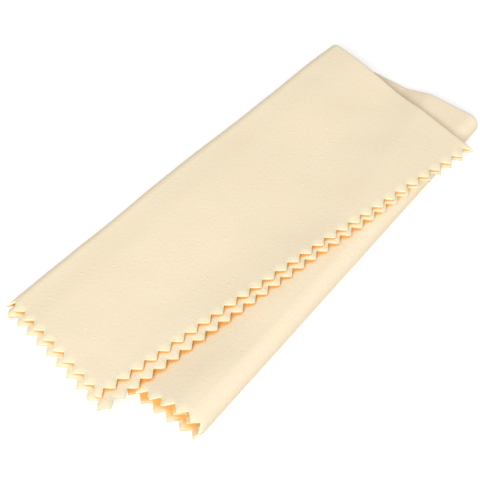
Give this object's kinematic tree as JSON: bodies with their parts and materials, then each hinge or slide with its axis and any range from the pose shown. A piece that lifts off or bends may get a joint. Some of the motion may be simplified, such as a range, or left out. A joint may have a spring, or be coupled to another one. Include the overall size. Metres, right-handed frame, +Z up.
{
  "type": "microfiber cloth",
  "caption": "Cream brushed microfiber polishing cloth with pinked edges, folded end to end and then in three, whose leaves open out at their folds.",
  "frame": {"origin": "centre of the folded cloth's outline, on the surface that it lies on", "axes": "+X along the grain of the middle leaf, from the open end to the far crease, +Y towards the left fold, +Z up"},
  "size_m": [0.1356, 0.0682, 0.01],
  "materials": {
    "brushed_cloth": "brushed microfiber, matt, with a short nap"
  },
  "bodies": {
    "under_leaf": {"under_lower_panel": "brushed_cloth", "under_upper_panel": "brushed_cloth", "under_end_crease": "brushed_cloth", "right_fold_outer": "brushed_cloth", "right_fold_inner": "brushed_cloth", "right_fold_corner": "brushed_cloth"},
    "middle_leaf": {"middle_upper_panel": "brushed_cloth", "middle_lower_panel": "brushed_cloth", "middle_end_crease": "brushed_cloth", "left_fold_inner": "brushed_cloth", "left_fold_outer": "brushed_cloth", "left_fold_corner": "brushed_cloth"},
    "top_leaf": {"top_inner_panel": "brushed_cloth", "top_outer_panel": "brushed_cloth", "top_end_crease": "brushed_cloth"}
  },
  "joints": [
    {"name": "right_fold", "type": "hinge", "parent": "under_leaf", "child": "middle_leaf", "pos_m": [-0.05854, -0.02587, 0.0043], "axis": [0.9998, -0.0145, -0.0097], "range_deg": [0, 165], "deforming": ["right_fold_outer", "right_fold_inner", "right_fold_corner"]},
    {"name": "left_fold", "type": "hinge", "parent": "middle_leaf", "child": "top_leaf", "pos_m": [-0.0582, 0.03348, 0.00385], "axis": [-0.9926, 0.1209, -0.0105], "range_deg": [0, 180], "deforming": ["left_fold_outer", "left_fold_inner", "left_fold_corner"]}
  ]
}
